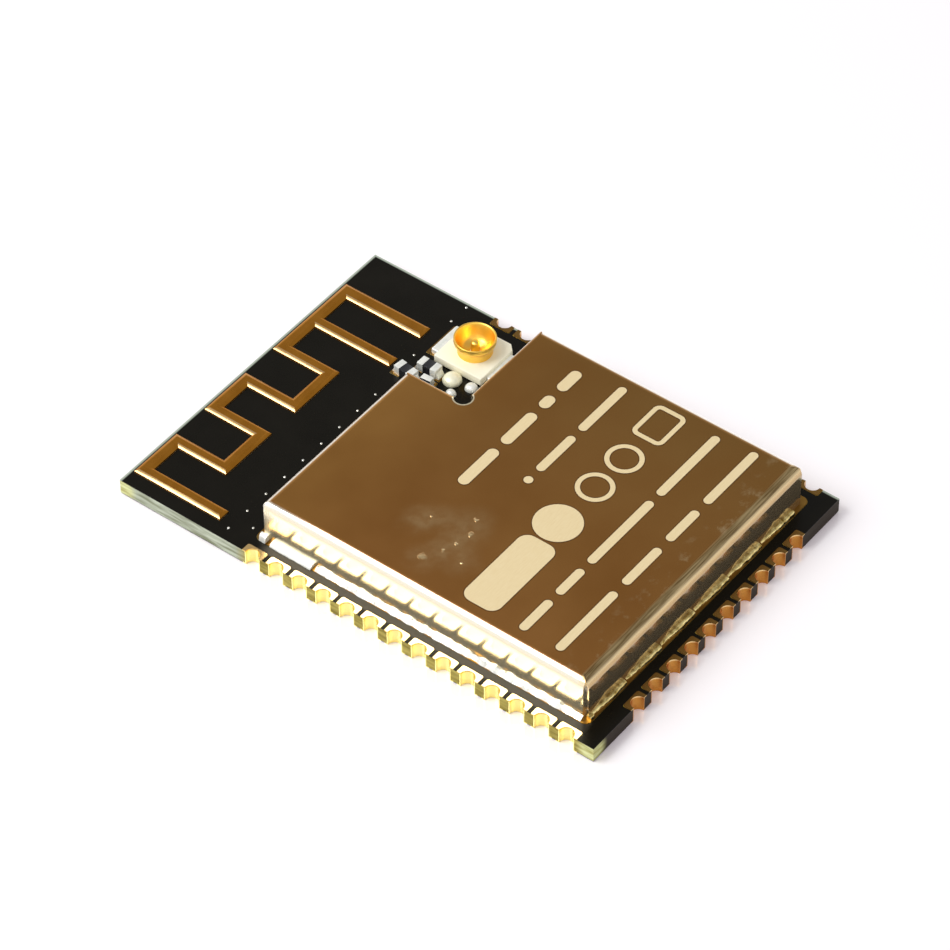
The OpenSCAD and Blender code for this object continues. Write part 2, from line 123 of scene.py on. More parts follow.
# studio: one large soft lamp from the left, pale walls all round and a darker ceiling
studio = {"keyDirection": (-0.457, 0.4246, 0.78), "keyDistance": 260, "keySize": 150, "keyPower": 0.46,
          "ambient": 0.6, "horizon": 1.1, "ceiling": 0.42, "ceilingFade": (0.1, 0.72),
          "leftFade": (0.05, -0.35), "floor": "#fafafa", "floorRoughness": 0.08, "floorIor": 1.9,
          "floorGlow": 0.125, "glowTint": "#ffdaf0", "floorWide": 3000, "floorDrop": 0.02}
keyDirection = Vector(studio["keyDirection"]).normalized()
bpy.ops.object.light_add(type="AREA", location=keyDirection * studio["keyDistance"] * mm)
key = bpy.context.object
key.name = "softKey"
key.rotation_mode = "QUATERNION"
key.rotation_quaternion = keyDirection.to_track_quat("Z", "Y")
key.data.size = studio["keySize"] * mm
key.data.energy = studio["keyPower"]


def seenRays(tree):  # 1 for rays that show a surface, straight or in a mirror
    ray = addNode(tree, "LightPath")
    seen = addNode(tree, "Math", {0: ray.outputs["Is Camera Ray"], 1: ray.outputs["Is Glossy Ray"]},
                   operation="MAXIMUM")
    return addNode(tree, "Math", {0: seen.outputs[0], 1: ray.outputs["Is Transmission Ray"]},
                   operation="MAXIMUM").outputs[0]


world = bpy.data.worlds.new("studioWalls")
scene.world = world
world.use_nodes = True
tree = world.node_tree
tree.nodes.clear()
height = addNode(tree, "SeparateXYZ", {0: addNode(tree, "TexCoord").outputs["Generated"]})
start, full = studio["ceilingFade"]
fade = addNode(tree, "MapRange", {"Value": height.outputs["Z"], "From Min": start, "From Max": full,
               "To Min": studio["horizon"], "To Max": studio["ceiling"]}, interpolation_type="SMOOTHSTEP")
start, full = studio["leftFade"]
paleSide = addNode(tree, "MapRange", {"Value": height.outputs["X"], "From Min": start, "From Max": full,
                   "To Min": fade.outputs[0], "To Max": studio["horizon"]}, interpolation_type="SMOOTHSTEP")
level = addNode(tree, "MapRange", {"Value": seenRays(tree), "To Min": studio["ambient"],
                "To Max": paleSide.outputs[0]})
walls = addNode(tree, "Background", {"Color": linear("#ffffff"), "Strength": level.outputs[0]})
addNode(tree, "OutputWorld", {"Surface": walls.outputs[0]})

bpy.ops.mesh.primitive_plane_add(size=studio["floorWide"] * mm, location=(0, 0, -studio["floorDrop"] * mm))
floor = bpy.context.object
floor.name = "paleFloor"
floorMaterial, tree, shader, place = newMaterial("paleFloorSheet", Base_Color=linear(studio["floor"]),
                                                 Roughness=studio["floorRoughness"], IOR=studio["floorIor"],
                                                 Emission_Color=linear(studio["glowTint"]))
glow = addNode(tree, "Math", {0: seenRays(tree), 1: studio["floorGlow"]}, operation="MULTIPLY")
feed(tree, shader, Emission_Strength=glow.outputs[0])
floor.data.materials.append(floorMaterial)
print("studio lit")

# materials: the sizes and places of their patterns are in millimetres
boardCut = {"plyLong": 1.4, "plyHigh": 0.16, "streakDeep": 0.02, "pastPads": (5.6, 6.2),
            "darkEnd": (0.35, 0.05), "limeReach": (1.0, 0.45), "middle": 0.4}


def cutLaminate():  # routed glass-epoxy: plies show as fine streaks; the lime at the corners is painted light scattered through the laminate, and the pad end is painted dark as shade
    material, tree, shader, place = newMaterial("routedGlassEpoxy", Roughness=0.5, IOR=1.52,
                                                Specular_IOR_Level=0.12)
    plyLong, plyHigh = perMm(boardCut["plyLong"]), perMm(boardCut["plyHigh"])
    plies = addNode(tree, "Mapping", {"Vector": place, "Scale": (plyLong, plyLong, plyHigh)})
    streak = addNode(tree, "TexNoise", {"Vector": plies.outputs[0], "Scale": 1, "Detail": 3})
    tone = addNode(tree, "MapRange", {"Value": streak.outputs["Fac"], "From Min": 0.35, "From Max": 0.65})
    spot = addNode(tree, "SeparateXYZ", {0: place})
    colour = addNode(tree, "MixRGB", {"Fac": tone.outputs[0], "Color1": linear("#85752e"),
                     "Color2": linear("#bcab58")})
    bare = addNode(tree, "MixRGB", {"Fac": tone.outputs[0], "Color1": linear("#868a70"),
                   "Color2": linear("#c6ccb8")})
    # paler past the pads, and darker at the pad end: painted shade on the end face, which faces away from the
    # lamp
    pastPads = addNode(tree, "MapRange", {"Value": spot.outputs["Y"], **between(boardCut["pastPads"])})
    colour = addNode(tree, "MixRGB", {"Fac": pastPads.outputs[0], "Color1": colour.outputs[0],
                     "Color2": bare.outputs[0]})
    endShade = addNode(tree, "MapRange", {"Value": spot.outputs["Y"],
                    **between(boardCut["darkEnd"], boardLo.y)})
    colour = addNode(tree, "MixRGB", {"Fac": endShade.outputs[0], "Color1": colour.outputs[0],
                     "Color2": linear("#30261a")})
    # painted light: lime towards the two corners on the lamp's side, where light scatters through the
    # laminate
    limeTone = addNode(tree, "MixRGB", {"Fac": tone.outputs[0], "Color1": linear("#b0a85e"),
                       "Color2": linear("#e6e8ac")})
    for y in (boardLo.y, boardHi.y):
        corner = (boardLo.x * mm, y * mm, boardCut["middle"] * mm)
        near = addNode(tree, "VectorMath", {0: place, 1: corner}, operation="DISTANCE")
        lime = addNode(tree, "MapRange", {"Value": near.outputs["Value"],
                       **between(boardCut["limeReach"])}, interpolation_type="SMOOTHSTEP")
        colour = addNode(tree, "MixRGB", {"Fac": lime.outputs[0], "Color1": colour.outputs[0],
                         "Color2": limeTone.outputs[0]})
    bump = addNode(tree, "Bump", {"Height": streak.outputs["Fac"], "Strength": 0.5,
                   "Distance": boardCut["streakDeep"] * mm})
    feed(tree, shader, Base_Color=colour.outputs[0], Normal=bump.outputs[0])
    return material


maskCoat = {"cloud": 1.5, "peel": 0.25, "peelDeep": 0.01, "thinned": (-0.13, -0.06),
            "strip": [("X", canLo.x, (0.1, -0.1)), ("X", boardLo.x, (0.36, 0.46)),
                      ("Y", canHi.y, (-0.2, -0.8)), ("Y", canLo.y, (-0.4, 0.3))]}


def solderMask():  # screened black epoxy mask: near black, soft gloss, pale where the router thinned its edge
    material, tree, shader, place = newMaterial("screenedBlackMask", IOR=1.5, Specular_IOR_Level=0.13)
    cloud = addNode(tree, "TexNoise", {"Vector": place, "Scale": perMm(maskCoat["cloud"]), "Detail": 4})
    colour = addNode(tree, "MixRGB", {"Fac": cloud.outputs["Fac"], "Color1": linear("#0b0904"),
                     "Color2": linear("#14110a")})
    spot = addNode(tree, "SeparateXYZ", {0: place})
    edges = []
    for axis, edge in (("X", boardHi.x), ("Y", boardHi.y)):
        edges.append(addNode(tree, "MapRange", {"Value": spot.outputs[axis],
                             **between(maskCoat["thinned"], edge)}).outputs[0])
    worn = addNode(tree, "Math", {0: edges[0], 1: edges[1]}, operation="MAXIMUM")
    colour = addNode(tree, "MixRGB", {"Fac": worn.outputs[0], "Color1": colour.outputs[0],
                     "Color2": linear("#aab3a4")})
    # between the left wall and the lands the strip looks warm grey from the light that the metal throws back
    warm = 1.0
    for axis, base, stretch in maskCoat["strip"]:
        warm = addNode(tree, "MapRange", {"Value": spot.outputs[axis], **between(stretch, base),
                       "To Max": warm}).outputs[0]
    colour = addNode(tree, "MixRGB", {"Fac": warm, "Color1": colour.outputs[0],
                     "Color2": linear("#4c463c")})
    gloss = addNode(tree, "MapRange", {"Value": cloud.outputs["Fac"], "To Min": 0.2, "To Max": 0.36})
    peel = addNode(tree, "TexNoise", {"Vector": place, "Scale": perMm(maskCoat["peel"]), "Detail": 2})
    bump = addNode(tree, "Bump", {"Height": peel.outputs["Fac"], "Strength": 0.06,
                   "Distance": maskCoat["peelDeep"] * mm})
    feed(tree, shader, Base_Color=colour.outputs[0], Roughness=gloss.outputs[0], Normal=bump.outputs[0])
    return material


gold = {"cloud": 0.6, "grain": 0.08, "grainDeep": 0.006, "rim": (-0.09, -0.05), "land": (-0.006, -0.002),
        "lastLand": (4.55, 4.65)}


def goldFinish(name, dark, light, rough, rim=None, land=None, lastLand=None):  # plated gold: warm satin metal
    material, tree, shader, place = newMaterial(name, Metallic=1.0)
    cloud = addNode(tree, "TexNoise", {"Vector": place, "Scale": perMm(gold["cloud"]), "Detail": 4})
    colour = addNode(tree, "MixRGB", {"Fac": cloud.outputs["Fac"], "Color1": linear(dark),
                     "Color2": linear(light)})
    spot = addNode(tree, "SeparateXYZ", {0: place})
    # an edge pad: painted light on the drawn rim and the flat land; the pads in shade get a highlight on the
    # rim and a dark reflection of the ceiling on the land, and the lit row gets a bright reflection of the
    # can's wall on the land
    for tone, level in ((rim, gold["rim"]), (land, gold["land"])):
        if tone:
            onIt = addNode(tree, "MapRange", {"Value": spot.outputs["Z"], **between(level, padTop)})
            colour = addNode(tree, "MixRGB", {"Fac": onIt.outputs[0], "Color1": colour.outputs[0],
                             "Color2": linear(tone)})
    if lastLand:  # the land past the can's wall gets no light back from it
        last = addNode(tree, "MapRange", {"Value": spot.outputs["Y"], **between(gold["lastLand"])})
        last = addNode(tree, "Math", {0: last.outputs[0], 1: onIt.outputs[0]}, operation="MULTIPLY")
        colour = addNode(tree, "MixRGB", {"Fac": last.outputs[0], "Color1": colour.outputs[0],
                         "Color2": linear(lastLand)})
    gloss = addNode(tree, "MapRange", {"Value": cloud.outputs["Fac"], "To Min": rough[0],
                    "To Max": rough[1]})
    # plating grain, drawn coarser than real so that it shows
    grain = addNode(tree, "TexNoise", {"Vector": place, "Scale": perMm(gold["grain"]), "Detail": 3})
    bump = addNode(tree, "Bump", {"Height": grain.outputs["Fac"], "Strength": 0.2,
                   "Distance": gold["grainDeep"] * mm})
    feed(tree, shader, Base_Color=colour.outputs[0], Roughness=gloss.outputs[0], Normal=bump.outputs[0])
    return material


tin = {"lump": 0.35, "lumpDeep": 0.05, "relief": 0.35}


# reflowed tin: bright, lumpy and speckled
def tinSolder(name, dark, light, metallic, rough, lump=tin["lump"], relief=tin["relief"]):
    material, tree, shader, place = newMaterial(name, Metallic=metallic)
    lumps = addNode(tree, "TexNoise", {"Vector": place, "Scale": perMm(lump), "Detail": 4})
    speckle = addNode(tree, "MapRange", {"Value": lumps.outputs["Fac"], "From Min": 0.3, "From Max": 0.62})
    colour = addNode(tree, "MixRGB", {"Fac": speckle.outputs[0], "Color1": linear(dark),
                     "Color2": linear(light)})
    gloss = addNode(tree, "MapRange", {"Value": lumps.outputs["Fac"], "To Min": rough[0],
                    "To Max": rough[1]})
    bump = addNode(tree, "Bump", {"Height": lumps.outputs["Fac"], "Strength": relief,
                   "Distance": tin["lumpDeep"] * mm})
    feed(tree, shader, Base_Color=colour.outputs[0], Roughness=gloss.outputs[0], Normal=bump.outputs[0])
    return material


# the can's sizes, for its metal here and its shape further on
can = {"bend": 0.44, "sheet": 0.2, "slit": 0.17, "mitre": 0.02, "notchWide": 5.58, "notchLong": 3.14,
       "notchBend": 0.22, "relief": 0.42, "reliefOut": 0.11, "drillLong": 6, "drillDrop": 1,
       "drillSteps": 64, "bendSteps": 12, "edgeRound": 0.025, "edgeSteps": 2, "edgeAngle": 50,
       "markRoom": 0.006}
notch = Vector((canHi.x - can["notchWide"], canHi.y - can["notchLong"], 0))
reliefAt = notch + Vector((can["reliefOut"], can["reliefOut"], 0))
plateTop = canHi.z - can["markRoom"]

# tones, painted light and wear of the can's metal, with the handled patch as (x, y, size of a dent or 0 for a
# smear alone)
canWearAndLight = {"topFade": (-0.07, -0.02), "paleFrom": 0.5, "cloud": 5, "swirl": 0.5, "sway": 0.6,
        "smearReach": 1.15, "smearMost": 0.13, "dentGlintMost": 0.9, "dentDeep": 0.08, "core": 0.1,
        "patch": [(-4.6, -0.3, 0), (-3.76, -1.36, 0), (-4.15, -0.65, 0.11), (-3.12, -2.29, 0.15),
                  (-6.17, -1.79, 0.26), (-5.3, -2.18, 0.15), (-4.68, -2.43, 0.17), (-3.96, -2.62, 0.14),
                  (-5.41, -3.26, 0.1)],
        "scuff": 0.7, "scuffEnd": (2.0, 0.5), "bendIn": (1.25 * can["bend"], 0.8 * can["bend"]),
        "bendUp": (-1.1 * can["bend"], -0.6 * can["bend"]), "scratchLong": 1.6, "scratchWide": 0.07,
        "crest": (-0.06, -0.2), "leftWall": (0.1, 0.02), "endWall": (0.2, 0.02), "reliefGlintRing": (0.08, 0.05),
        "frosted": (4.4, 5.3), "wallDent": 1.1, "wallDentDeep": 0.05}


def canSheet():  # cold-rolled nickel silver, pale on the walls; the top's brown is painted reflection of a dark warm room, and the tan bend at the pad end is partly worn, partly a painted highlight
    material, tree, shader, place = newMaterial("rolledNickelSilver")
    spot = addNode(tree, "SeparateXYZ", {0: place})
    onTop = addNode(tree, "MapRange", {"Value": spot.outputs["Z"], **between(canWearAndLight["topFade"], canHi.z)},
                    interpolation_type="SMOOTHSTEP")
    across = addNode(tree, "MapRange", {"Value": spot.outputs["X"], **between((canLo.x, canHi.x))})
    along = addNode(tree, "MapRange", {"Value": spot.outputs["Y"], **between((canWearAndLight["paleFrom"], canHi.y))})
    cloud = addNode(tree, "TexNoise", {"Vector": place, "Scale": perMm(canWearAndLight["cloud"]), "Detail": 3})
    # the top is painted brown as the reflection of a dark warm room, its tone shifting across and along the
    # top as that reflection does
    brown = addNode(tree, "MixRGB", {"Fac": across.outputs[0], "Color1": linear("#c88e50"),
                    "Color2": linear("#a07c46")})
    brown = addNode(tree, "MixRGB", {"Fac": along.outputs[0], "Color1": brown.outputs[0],
                    "Color2": linear("#c8944f")})
    brown = addNode(tree, "MixRGB", {"Fac": cloud.outputs["Fac"], "Color1": linear("#94602a"),
                    "Color2": brown.outputs[0]})
    # a handled patch: soft pale smears that run together round small dents, their bright cores painted glints
    swirl = addNode(tree, "TexNoise", {"Vector": place, "Scale": perMm(canWearAndLight["swirl"]), "Detail": 2})
    swirled = addNode(tree, "VectorMath", {0: swirl.outputs["Color"], 1: (0.5, 0.5, 0.5)},
                      operation="SUBTRACT")
    sway = (canWearAndLight["sway"] * mm, canWearAndLight["sway"] * mm, 0)
    warped = addNode(tree, "VectorMath", {0: swirled.outputs[0], 1: sway, 2: place},
                     operation="MULTIPLY_ADD")
    smears, dentsAndGlints = [], []
    for x, y, dent in canWearAndLight["patch"]:
        away = addNode(tree, "VectorMath", {0: warped.outputs[0], 1: (x * mm, y * mm, canHi.z * mm)},
                       operation="DISTANCE")
        for found, reach, most in ((smears, canWearAndLight["smearReach"], canWearAndLight["smearMost"]),
                                   (dentsAndGlints, dent, canWearAndLight["dentGlintMost"])):
            if reach:
                found.append(addNode(tree, "MapRange", {"Value": away.outputs["Value"], "To Max": most,
                                     **between((reach, canWearAndLight["core"] * reach))},
                                     interpolation_type="SMOOTHSTEP"))
    pale = smears[0]
    for kind, found in (("ADD", smears[1:]), ("MAXIMUM", dentsAndGlints)):
        for one in found:
            pale = addNode(tree, "Math", {0: pale.outputs[0], 1: one.outputs[0]}, operation=kind)
    cloudy = addNode(tree, "MapRange", {"Value": swirl.outputs["Fac"], "From Min": 0.35,
                     "From Max": 0.65, "To Min": 0.5, "To Max": 1.1})
    pale = addNode(tree, "Math", {0: pale.outputs[0], 1: cloudy.outputs[0]}, operation="MULTIPLY")
    brown = addNode(tree, "MixRGB", {"Fac": pale.outputs[0], "Color1": brown.outputs[0],
                    "Color2": linear("#eed6a4")})
    # scuffs on the top near the pad end
    nearEnd = addNode(tree, "MapRange", {"Value": spot.outputs["Y"], "To Max": 0.45,
                      **between(canWearAndLight["scuffEnd"], canLo.y)}, interpolation_type="SMOOTHSTEP")
    scuffs = addNode(tree, "TexNoise", {"Vector": place, "Scale": perMm(canWearAndLight["scuff"]), "Detail": 6,
                     "Roughness": 0.7})
    scuff = addNode(tree, "MapRange", {"Value": scuffs.outputs["Fac"], "From Min": 0.56, "From Max": 0.7})
    scuff = addNode(tree, "Math", {0: scuff.outputs[0], 1: nearEnd.outputs[0]}, operation="MULTIPLY")
    brown = addNode(tree, "MixRGB", {"Fac": scuff.outputs[0], "Color1": brown.outputs[0],
                    "Color2": linear("#e0c89c")})
    # the bend at the pad end, rubbed and painted tan, partly as a highlight on the bend, with scratches drawn
    # coarser than real so that they show
    bendIn = addNode(tree, "MapRange", {"Value": spot.outputs["Y"], **between(canWearAndLight["bendIn"], canLo.y)},
                     interpolation_type="SMOOTHSTEP")
    bendUp = addNode(tree, "MapRange", {"Value": spot.outputs["Z"], **between(canWearAndLight["bendUp"], canHi.z)},
                     interpolation_type="SMOOTHSTEP")
    rubbedAndLit = addNode(tree, "Math", {0: bendIn.outputs[0], 1: bendUp.outputs[0]}, operation="MULTIPLY")
    scratchLong, scratchWide = perMm(canWearAndLight["scratchLong"]), perMm(canWearAndLight["scratchWide"])
    lines = addNode(tree, "Mapping", {"Vector": place, "Scale": (scratchLong, scratchWide, scratchWide)})
    scratch = addNode(tree, "TexNoise", {"Vector": lines.outputs[0], "Scale": 1, "Detail": 5})
    worn = addNode(tree, "MapRange", {"Value": scratch.outputs["Fac"], "From Min": 0.35, "From Max": 0.68})
    tan = addNode(tree, "MixRGB", {"Fac": worn.outputs[0], "Color1": linear("#80643a"),
                  "Color2": linear("#d6bd8c")})
    # a painted highlight along the bend just below the top
    crest = addNode(tree, "MapRange", {"Value": spot.outputs["Z"], "To Max": 0.8,
                    **between(canWearAndLight["crest"], canHi.z)}, interpolation_type="SMOOTHSTEP")
    tan = addNode(tree, "MixRGB", {"Fac": crest.outputs[0], "Color1": tan.outputs[0],
                  "Color2": linear("#fff0cc")})
    # bare walls, the left one warmer, and a painted highlight on the cut edge round the relief
    leftWall = addNode(tree, "MapRange", {"Value": spot.outputs["X"], **between(canWearAndLight["leftWall"], canLo.x)})
    bare = addNode(tree, "MixRGB", {"Fac": leftWall.outputs[0], "Color1": linear("#efeadd"),
                   "Color2": linear("#f0e4c4")})
    colour = addNode(tree, "MixRGB", {"Fac": onTop.outputs[0], "Color1": bare.outputs[0],
                     "Color2": brown.outputs[0]})
    colour = addNode(tree, "MixRGB", {"Fac": rubbedAndLit.outputs[0], "Color1": colour.outputs[0],
                     "Color2": tan.outputs[0]})
    reliefTop = (reliefAt.x * mm, reliefAt.y * mm, canHi.z * mm)
    fromRelief = addNode(tree, "VectorMath", {0: place, 1: reliefTop}, operation="DISTANCE")
    reliefHighlight = addNode(tree, "MapRange", {"Value": fromRelief.outputs["Value"],
                      **between(canWearAndLight["reliefGlintRing"], can["relief"])})
    colour = addNode(tree, "MixRGB", {"Fac": reliefHighlight.outputs[0], "Color1": colour.outputs[0],
                     "Color2": linear("#fff2d0")})
    gloss = addNode(tree, "MapRange", {"Value": onTop.outputs[0], "To Min": 0.17, "To Max": 0.26})
    gloss = addNode(tree, "Math", {0: rubbedAndLit.outputs[0], 1: 0.06, 2: gloss.outputs[0]},
                    operation="MULTIPLY_ADD")
    # frosted by flux where the left wall ends beside the antenna
    frosted = addNode(tree, "MapRange", {"Value": spot.outputs["Y"], "To Max": 0.3,
                      **between(canWearAndLight["frosted"])})
    gloss = addNode(tree, "Math", {0: frosted.outputs[0], 1: gloss.outputs[0]}, operation="MAXIMUM")
    # the wall at the pad end is painted darker and browner as shade, and is smoother and dented
    endWall = addNode(tree, "MapRange", {"Value": spot.outputs["Y"], **between(canWearAndLight["endWall"], canLo.y)})
    gloss = addNode(tree, "Math", {0: endWall.outputs[0], 1: -0.05, 2: gloss.outputs[0]},
                    operation="MULTIPLY_ADD")
    endWallShade = addNode(tree, "MixRGB", {"Fac": 1.0, "Color1": colour.outputs[0],
                   "Color2": linear("#d2bea0")}, blend_type="MULTIPLY")
    colour = addNode(tree, "MixRGB", {"Fac": endWall.outputs[0], "Color1": colour.outputs[0],
                     "Color2": endWallShade.outputs[0]})
    waves = addNode(tree, "TexNoise", {"Vector": place, "Scale": perMm(canWearAndLight["wallDent"]), "Detail": 2})
    dented = addNode(tree, "MapRange", {"Value": endWall.outputs[0], "To Min": 0.06, "To Max": 0.24})
    bump = addNode(tree, "Bump", {"Height": waves.outputs["Fac"], "Strength": dented.outputs[0],
                   "Distance": canWearAndLight["wallDentDeep"] * mm})
    bump = addNode(tree, "Bump", {"Height": pale.outputs[0], "Strength": 0.6,
                   "Distance": canWearAndLight["dentDeep"] * mm, "Normal": bump.outputs[0]})
    # a film of dried flux on both near walls, thicker at the pad end
    film = addNode(tree, "MapRange", {"Value": leftWall.outputs[0], "To Min": 1.0, "To Max": 0.93})
    film = addNode(tree, "Math", {0: endWall.outputs[0], 1: -0.17, 2: film.outputs[0]},
                   operation="MULTIPLY_ADD")
    feed(tree, shader, Base_Color=colour.outputs[0], Roughness=gloss.outputs[0], Normal=bump.outputs[0],
         Metallic=film.outputs[0])
    return material


hatching = {"long": 0.4, "wide": 0.06, "deep": 1}  # laser lines, drawn coarser than real so that they show


def etched(name, dark, light, rough):  # laser-etched metal: fine frosted hatching, pale from every side
    material, tree, shader, place = newMaterial(name, Metallic=0.6, Roughness=rough)
    hatch = addNode(tree, "Mapping", {"Vector": place,
                    "Scale": tuple(perMm(hatching[k]) for k in ("long", "wide", "deep"))})
    frost = addNode(tree, "TexNoise", {"Vector": hatch.outputs[0], "Scale": 1, "Detail": 4})
    colour = addNode(tree, "MixRGB", {"Fac": frost.outputs["Fac"], "Color1": linear(dark),
                     "Color2": linear(light)})
    feed(tree, shader, Base_Color=colour.outputs[0])
    return material


moulding = {"cloud": 0.8, "cloudDeep": 0.01}


def moulded(name, dark, light, rough):  # moulded plastic or fired ceramic: even colour with a faint cloud
    material, tree, shader, place = newMaterial(name, IOR=1.5, Roughness=rough)
    cloud = addNode(tree, "TexNoise", {"Vector": place, "Scale": perMm(moulding["cloud"]), "Detail": 4})
    colour = addNode(tree, "MixRGB", {"Fac": cloud.outputs["Fac"], "Color1": linear(dark),
                     "Color2": linear(light)})
    bump = addNode(tree, "Bump", {"Height": cloud.outputs["Fac"], "Strength": 0.2,
                   "Distance": moulding["cloudDeep"] * mm})
    feed(tree, shader, Base_Color=colour.outputs[0], Normal=bump.outputs[0])
    return material


laminate = cutLaminate()
mask = solderMask()
# gold: the pads painted as in shade, the left row painted as lit, the darker ring at the can's foot, the
# antenna and its edge with a painted highlight, the socket
padGold = goldFinish("immersionGoldPads", "#ba7c32", "#dca250", (0.2, 0.34), "#ffe0a0", "#94703a")
paleGold = goldFinish("paintedLitImmersionGold", "#f4dc80", "#fdeea8", (0.2, 0.3), "#d0a858", "#f6e2b4", "#ecc88a")
darkRingGold = goldFinish("darkerRingGold", "#66461a", "#b08640", (0.25, 0.4))
traceGold = goldFinish("immersionGoldTrace", "#b0701f", "#c48630", (0.22, 0.34))
slopeGold = goldFinish("paintedHighlightGoldEdge", "#cfa066", "#e0bb86", (0.24, 0.34))
socketGold = goldFinish("brightGoldContact", "#ffc63e", "#ffdc78", (0.3, 0.4))
# tin: bright runs, yellow runs at the pad end whose bright and dark specks are painted glints and shade, the
# cream blob and matt plated ends
solder = tinSolder("reflowedTinSolder", "#cfcdc2", "#f1f0ea", 1.0, (0.16, 0.34))
endSolder = tinSolder("yellowTinPaintedGlints", "#8c6c1e", "#ffeaa4", 1.0, (0.12, 0.28), lump=0.24, relief=1.0)
creamTin = tinSolder("creamFluxedTin", "#eeeacb", "#fbf7dd", 0.25, (0.3, 0.45))
frostedTin = tinSolder("frostedTinPlate", "#e4e6e0", "#f7f7f0", 0.35, (0.3, 0.5))
sheet = canSheet()
etchedFill = etched("laserEtchedNickel", "#ecd5a2", "#f8e6bd", 0.6)
etchedRim = etched("burntEtchRim", "#4a2f10", "#6a4519", 0.5)
# the socket's cream: partly the moulding's own tone, partly painted yellow light thrown back by the gold cup
creamMoulding = moulded("mouldedCreamPolymer", "#fdf6da", "#fffbe8", 0.4)
blackMoulding = moulded("mouldedBlackEpoxy", "#121214", "#1c1c1e", 0.5)
firedCeramic = moulded("firedTanCeramic", "#8a7457", "#a58d6c", 0.45)
glazedBlack = moulded("glazedBlackChip", "#17171a", "#26262a", 0.25)

finishes = {
    "laminate": laminate, "solder_mask": mask, "plated_copper": padGold, "antenna_copper": traceGold,
    "tin_solder": solder, "can_sheet": sheet, "socket_moulding": creamMoulding, "socket_contact": socketGold,
    "package_black": blackMoulding, "chip_ceramic": firedCeramic, "chip_black": glazedBlack,
    "tinned_ends": solder}
for subpart in frame["record"]["subparts"]:
    node = nodes[subpart["node"]]
    node.data.materials.clear()
    node.data.materials.append(finishes[subpart["material_slot"]])
nodes["left_edge_pads"].data.materials[0] = paleGold
nodes["shield_ring"].data.materials[0] = darkRingGold
print("materials on", len(nodes), "CAD nodes")

# modelling helpers: pieces are shaped in millimetres and shrunk to metres when they settle


def only(piece):  # make one object the selected and active one
    bpy.ops.object.select_all(action="DESELECT")
    piece.select_set(True)
    bpy.context.view_layer.objects.active = piece


def pick(piece, kind, test):  # in edit mode, select verts, edges or faces by their middle point
    modes = {"verts": "VERT", "edges": "EDGE", "faces": "FACE"}
    bpy.ops.mesh.select_mode(type=modes[kind])
    bpy.ops.mesh.select_all(action="DESELECT")
    shape = bmesh.from_edit_mesh(piece.data)
    for item in getattr(shape, kind):
        corners = [item] if kind == "verts" else item.verts
        middle = sum((v.co for v in corners), Vector()) / len(corners)
        if test(middle, item):
            item.select_set(True)
    bmesh.update_edit_mesh(piece.data)


def paint(piece, finish):  # in edit mode, give the selected faces a finish
    if finish.name not in piece.data.materials:
        piece.data.materials.append(finish)
    piece.active_material_index = piece.data.materials.find(finish.name)
    bpy.ops.object.material_slot_assign()


def pulled(*by):  # in edit mode, extrude what is selected
    bpy.ops.mesh.extrude_region_move(TRANSFORM_OT_translate={"value": by})


def scored(spot, direction):  # in edit mode, cut edges through the whole mesh where a plane meets it
    bpy.ops.mesh.select_all(action="SELECT")
    bpy.ops.mesh.bisect(plane_co=spot, plane_no=direction)


def closedUp():  # merge doubles, turn all faces outwards and leave edit mode
    bpy.ops.mesh.select_all(action="SELECT")
    bpy.ops.mesh.remove_doubles(threshold=same / 10)
    bpy.ops.mesh.normals_make_consistent(inside=False)
    bpy.ops.object.mode_set(mode="OBJECT")


def flat(lo, hi, z, finish):  # a plane primitive stretched between two corners, left in edit mode
    bpy.ops.object.select_all(action="DESELECT")
    bpy.ops.mesh.primitive_plane_add(size=1, location=((lo[0] + hi[0]) / 2, (lo[1] + hi[1]) / 2, z))
    piece = bpy.context.object
    piece.scale = (hi[0] - lo[0], hi[1] - lo[1], 1)
    bpy.ops.object.transform_apply(location=True, rotation=True, scale=True)
    piece.data.materials.append(finish)
    bpy.ops.object.mode_set(mode="EDIT")
    return piece


def block(lo, hi, finish):  # a cube primitive stretched between two corners, left in edit mode
    bpy.ops.object.select_all(action="DESELECT")
    bpy.ops.mesh.primitive_cube_add(size=1, location=(Vector(lo) + Vector(hi)) / 2)
    piece = bpy.context.object
    piece.scale = Vector(hi) - Vector(lo)
    bpy.ops.object.transform_apply(location=True, rotation=True, scale=True)
    piece.data.materials.append(finish)
    bpy.ops.object.mode_set(mode="EDIT")
    return piece


# rings extruded one from the next along a profile, which ends where it starts or else begins at a full disc
def turned(centre, profile, finish, steps, closed=True):
    radius, height = profile[0]
    bpy.ops.object.select_all(action="DESELECT")
    bpy.ops.mesh.primitive_circle_add(vertices=steps, radius=radius, location=(*centre, height),
                                      fill_type="NOTHING" if closed else "NGON")
    piece = bpy.context.object
    bpy.ops.object.transform_apply(location=True, rotation=True, scale=True)
    piece.data.materials.append(finish)
    bpy.ops.object.mode_set(mode="EDIT")
    bpy.ops.mesh.select_mode(type="EDGE" if closed else "FACE")
    bpy.ops.mesh.select_all(action="SELECT")
    for wide, high in profile[1:]:
        pulled(0, 0, high - height)
        bpy.ops.transform.resize(value=(wide / radius, wide / radius, 1), center_override=(*centre, high))
        radius, height = wide, high
    closedUp()
    return piece


def trimmed(piece, spot, direction):  # cut away what lies past a plane and close the cut
    only(piece)
    bpy.ops.object.mode_set(mode="EDIT")
    bpy.ops.mesh.select_all(action="SELECT")
    bpy.ops.mesh.bisect(plane_co=spot, plane_no=direction, clear_outer=True, use_fill=True)
    closedUp()


